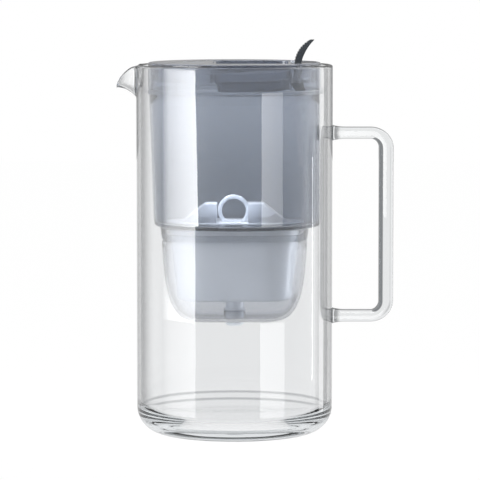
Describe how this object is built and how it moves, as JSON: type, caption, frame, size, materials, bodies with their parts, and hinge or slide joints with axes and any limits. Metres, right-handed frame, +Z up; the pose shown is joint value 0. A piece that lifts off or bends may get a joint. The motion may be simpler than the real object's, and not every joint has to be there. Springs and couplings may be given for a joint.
{
  "type": "water filter pitcher",
  "caption": "Clear glass jug with a beak spout and bar handle, holding a tinted hopper, an oval filter cartridge and a lid whose filling flap tips open on a thumb lever.",
  "frame": {"origin": "centre of the glass foot's flat underside, on the jug's axis", "axes": "+Z up along the jug's axis, -X towards the beak spout, +X towards the handle"},
  "size_m": [0.1978, 0.1412, 0.2813],
  "materials": {
    "jug_glass": "clear polished glass",
    "handle_glass": "clear fire-polished glass",
    "hopper_plastic": "smoky translucent moulded plastic",
    "clear_silicone": "translucent grey silicone",
    "cup_plastic": "pale smoky translucent moulded plastic",
    "lid_plastic": "dark smoky translucent moulded plastic",
    "pin_steel": "drawn stainless wire",
    "flap_plastic": "dark smoky translucent moulded plastic",
    "lever_plastic": "dark grey gloss plastic with fine grip ribs",
    "cartridge_plastic": "white moulded plastic",
    "cap_plastic": "white moulded plastic",
    "ring_plastic": "white moulded plastic",
    "seal_rubber": "grey silicone",
    "screen_plastic": "slotted white plastic",
    "filter_fleece": "white needled fleece",
    "carbon_granules": "packed black granules",
    "resin_beads": "packed amber beads"
  },
  "bodies": {
    "jug": {"jug_glass": "jug_glass", "handle": "handle_glass"},
    "hopper": {"funnel": "hopper_plastic", "grip_ring": "clear_silicone", "cartridge_cup": "cup_plastic"},
    "lid": {"lid_cover": "lid_plastic", "hinge_pin": "pin_steel"},
    "flap": {"fill_flap": "flap_plastic", "thumb_lever": "lever_plastic"},
    "cartridge": {"cartridge_shell": "cartridge_plastic", "cartridge_cap": "cap_plastic", "pull_ring": "ring_plastic", "rim_seal": "seal_rubber", "spigot_seal": "seal_rubber", "inlet_screen": "screen_plastic", "outlet_screen": "screen_plastic", "fleece_pad": "filter_fleece", "carbon_bed": "carbon_granules", "resin_bed": "resin_beads"}
  },
  "joints": [
    {"name": "hopper_lift", "type": "slide", "parent": "jug", "child": "hopper", "axis": [0, 0, 1], "range_m": [0, 0.19]},
    {"name": "lid_lift", "type": "slide", "parent": "hopper", "child": "lid", "axis": [0, 0, 1], "range_m": [0, 0.1]},
    {"name": "flap_hinge", "type": "hinge", "parent": "lid", "child": "flap", "pos_m": [0.046, 0, 0.2595], "axis": [0, 1, 0], "range_deg": [0, 42]},
    {"name": "cartridge_lift", "type": "slide", "parent": "hopper", "child": "cartridge", "axis": [0, 0, 1], "range_m": [0, 0.06]}
  ]
}
